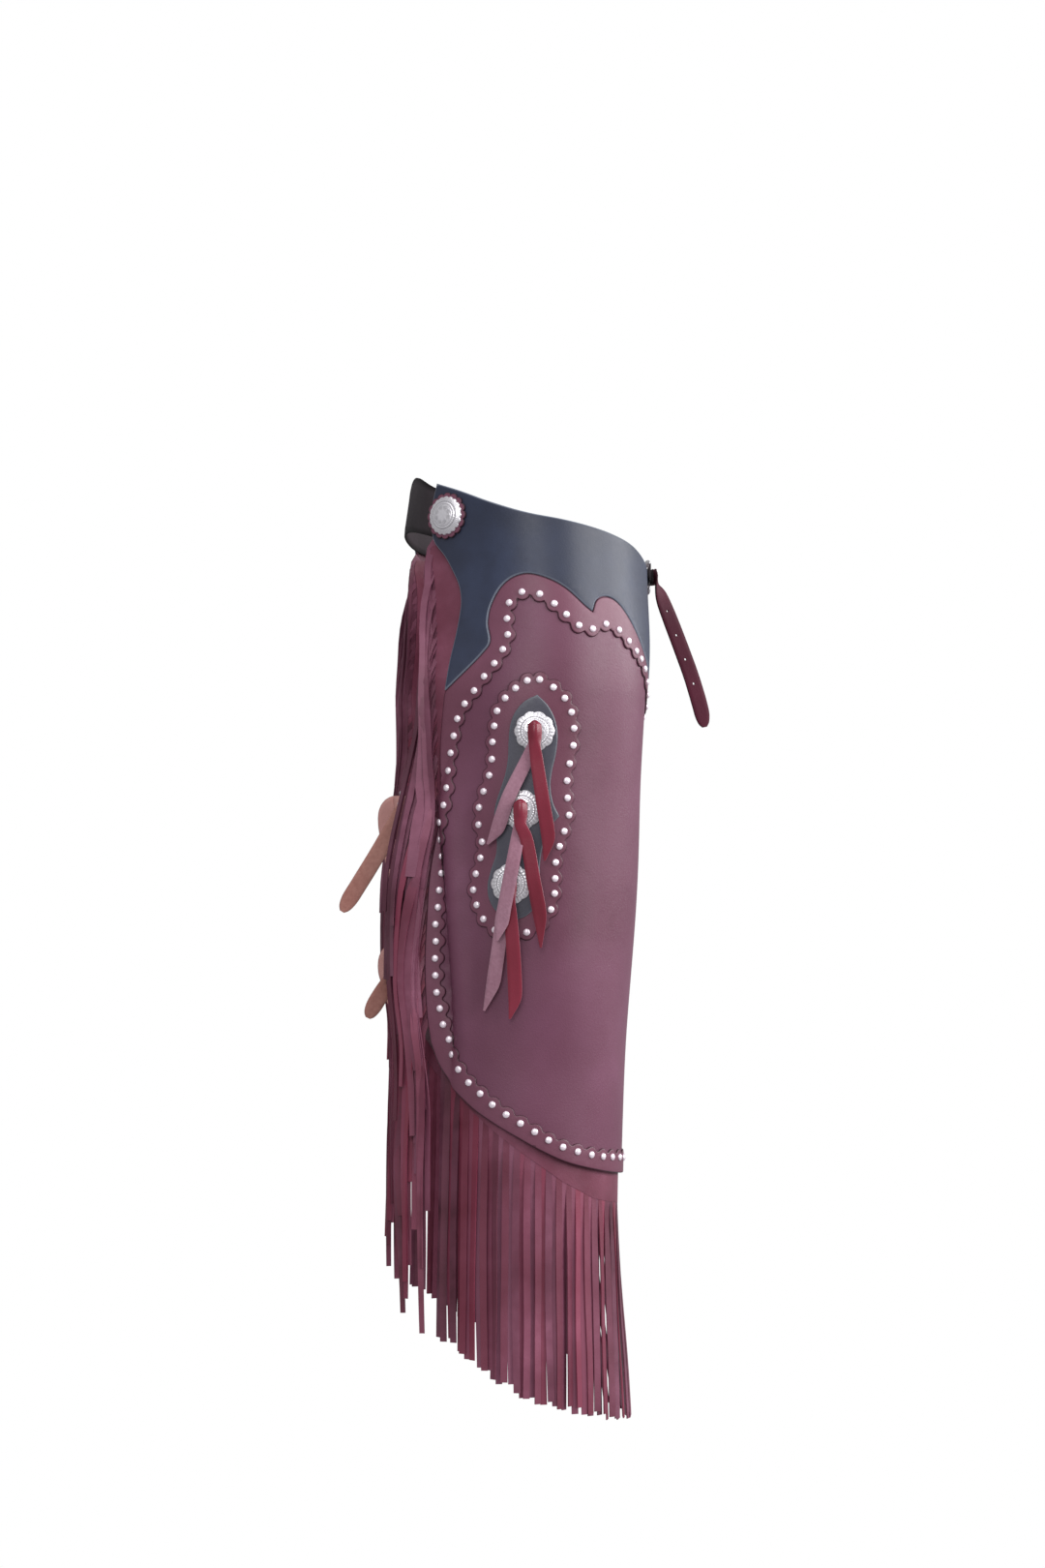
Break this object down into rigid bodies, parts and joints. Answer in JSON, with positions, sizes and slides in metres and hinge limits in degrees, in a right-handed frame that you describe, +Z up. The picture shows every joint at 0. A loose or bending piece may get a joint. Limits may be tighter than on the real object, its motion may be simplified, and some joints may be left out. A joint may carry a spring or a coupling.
{
  "type": "leather chaps",
  "caption": "Pair of western show chaps in worn pose: waist yokes on a belt, smooth leather legs with scalloped studded borders, concho plaques, rear and hem fringe, and leg straps.",
  "frame": {"origin": "middle of the belt ring at the height of the yokes' top edge at the sides", "axes": "+Z up along the wearer, -Y to the front, the right leg at -X"},
  "size_m": [0.4234, 0.3703, 0.913],
  "materials": {
    "burgundy_leather": "satin",
    "black_leather": "satin",
    "natural_leather": "matte",
    "silver": "satin"
  },
  "bodies": {
    "root": {"leg_panel_right": "burgundy_leather", "yoke_right": "black_leather", "border_right": "burgundy_leather", "plaque_right": "burgundy_leather", "plaque_inlay_right": "black_leather", "concho_1_right": "silver", "thong_1_right": "burgundy_leather", "concho_2_right": "silver", "thong_2_right": "burgundy_leather", "concho_3_right": "silver", "thong_3_right": "burgundy_leather", "hip_rosette_right": "burgundy_leather", "hip_concho_right": "silver", "rear_fringe_right": "burgundy_leather", "hem_fringe_right": "burgundy_leather", "leg_buckle_upper_right": "silver", "leg_buckle_upper_right_prong": "silver", "leg_chape_upper_right": "burgundy_leather", "leg_strap_upper_right": "natural_leather", "leg_buckle_lower_right": "silver", "leg_buckle_lower_right_prong": "silver", "leg_chape_lower_right": "burgundy_leather", "leg_strap_lower_right": "natural_leather", "leg_panel_left": "burgundy_leather", "yoke_left": "black_leather", "border_left": "burgundy_leather", "plaque_left": "burgundy_leather", "plaque_inlay_left": "black_leather", "concho_1_left": "silver", "thong_1_left": "burgundy_leather", "concho_2_left": "silver", "thong_2_left": "burgundy_leather", "concho_3_left": "silver", "thong_3_left": "burgundy_leather", "hip_rosette_left": "burgundy_leather", "hip_concho_left": "silver", "rear_fringe_left": "burgundy_leather", "hem_fringe_left": "burgundy_leather", "leg_buckle_upper_left": "silver", "leg_buckle_upper_left_prong": "silver", "leg_chape_upper_left": "burgundy_leather", "leg_strap_upper_left": "natural_leather", "leg_buckle_lower_left": "silver", "leg_buckle_lower_left_prong": "silver", "leg_chape_lower_left": "burgundy_leather", "leg_strap_lower_left": "natural_leather", "back_belt": "black_leather", "front_buckle": "silver", "front_buckle_prong": "silver", "front_chape": "black_leather", "front_strap": "burgundy_leather"}
  },
  "joints": []
}
